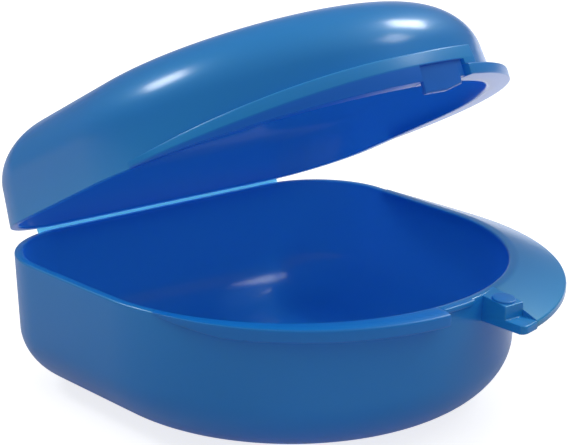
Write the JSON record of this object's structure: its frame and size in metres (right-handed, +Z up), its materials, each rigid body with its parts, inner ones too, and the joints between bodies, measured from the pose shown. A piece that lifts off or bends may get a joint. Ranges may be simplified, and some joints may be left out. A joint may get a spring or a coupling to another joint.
{
  "type": "orthodontic retainer case",
  "caption": "D-shaped pocket case with a deep tray, a shallower domed lid on a living hinge, a front snap latch and crescent thumb flanges.",
  "frame": {"origin": "middle of the flat underside of the tray, which stands on the table", "axes": "+Z up out of the tray; the front with the latch faces -Y; the hinge line runs along X at the back"},
  "size_m": [0.08, 0.0823, 0.0651],
  "materials": {
    "shell": "glossy, slightly pearly moulded polypropylene",
    "rim": "glossy moulded polypropylene, lighter at its thin edges",
    "film": "thin bent polypropylene, paler where it is stretched"
  },
  "bodies": {
    "tray": {"base_shell": "shell", "base_thumb_flange": "shell", "base_rim_lip": "rim", "latch_block": "rim", "latch_pip": "rim", "latch_catch": "rim", "living_hinge": "film"},
    "lid": {"lid_shell": "shell", "lid_thumb_flange": "rim", "lid_rim_lip": "rim", "latch_hook": "rim"}
  },
  "joints": [
    {"name": "lid_hinge", "type": "hinge", "parent": "tray", "child": "lid", "pos_m": [0, 0.0361, 0.023], "axis": [-1, 0, 0], "range_deg": [-26.3, 148.7], "stiffness_Nm_per_rad": 0.02, "springref_deg": 8.25, "deforming": ["living_hinge"]}
  ]
}
